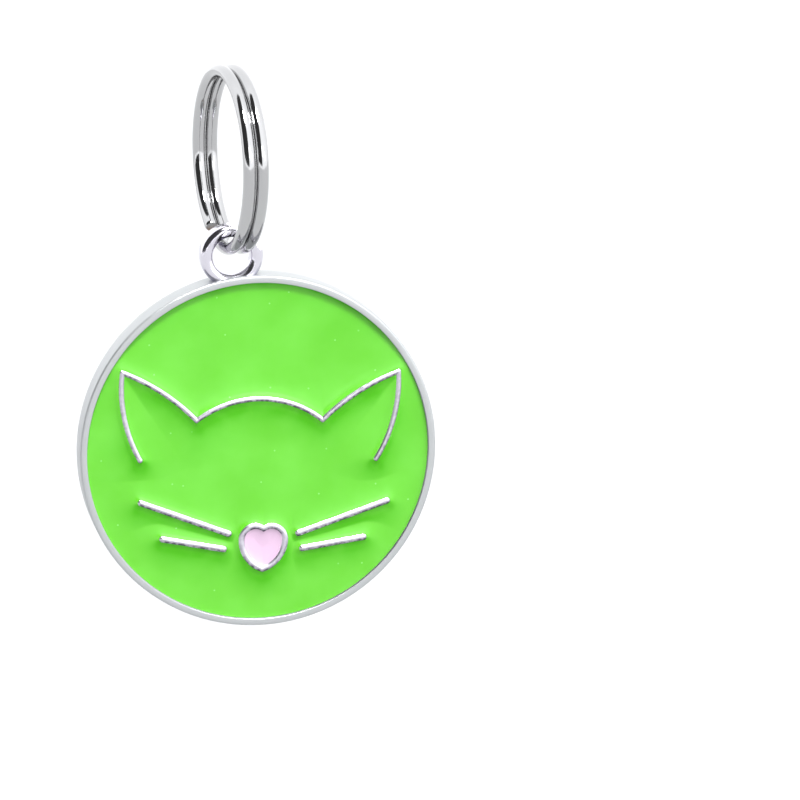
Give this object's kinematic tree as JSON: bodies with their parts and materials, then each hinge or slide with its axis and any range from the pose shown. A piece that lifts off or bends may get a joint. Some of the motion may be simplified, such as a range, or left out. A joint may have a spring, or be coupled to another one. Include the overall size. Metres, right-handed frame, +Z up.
{
  "type": "pet id tag",
  "caption": "Round metal pet tag with coloured enamel round a line-drawn cat face, hung by its cast eye on a split ring.",
  "frame": {"origin": "the hang point, on the inside of the split ring at its top, where it lies over whatever it hangs on", "axes": "+Z up with the tag hanging upright, front of the disc towards -Y, +X to the right of someone who looks at the front"},
  "size_m": [0.025, 0.0132, 0.0396],
  "materials": {
    "plated_metal": "bright nickel plate over die-cast zinc, satin on the flat back",
    "green_enamel": "glossy poured enamel, lime green, drawn up where it meets the metal",
    "pink_enamel": "glossy poured enamel, pale pink",
    "polished_steel": "polished nickel-plated steel wire"
  },
  "bodies": {
    "ring": {"split_ring": "polished_steel"},
    "tag": {"tag_body": "plated_metal", "green_enamel": "green_enamel", "pink_enamel": "pink_enamel"}
  },
  "joints": [
    {"name": "tag_swing", "type": "hinge", "parent": "ring", "child": "tag", "pos_m": [0, 0, -0.0106], "axis": [1, 0, 0], "range_deg": [-50, 50]}
  ]
}
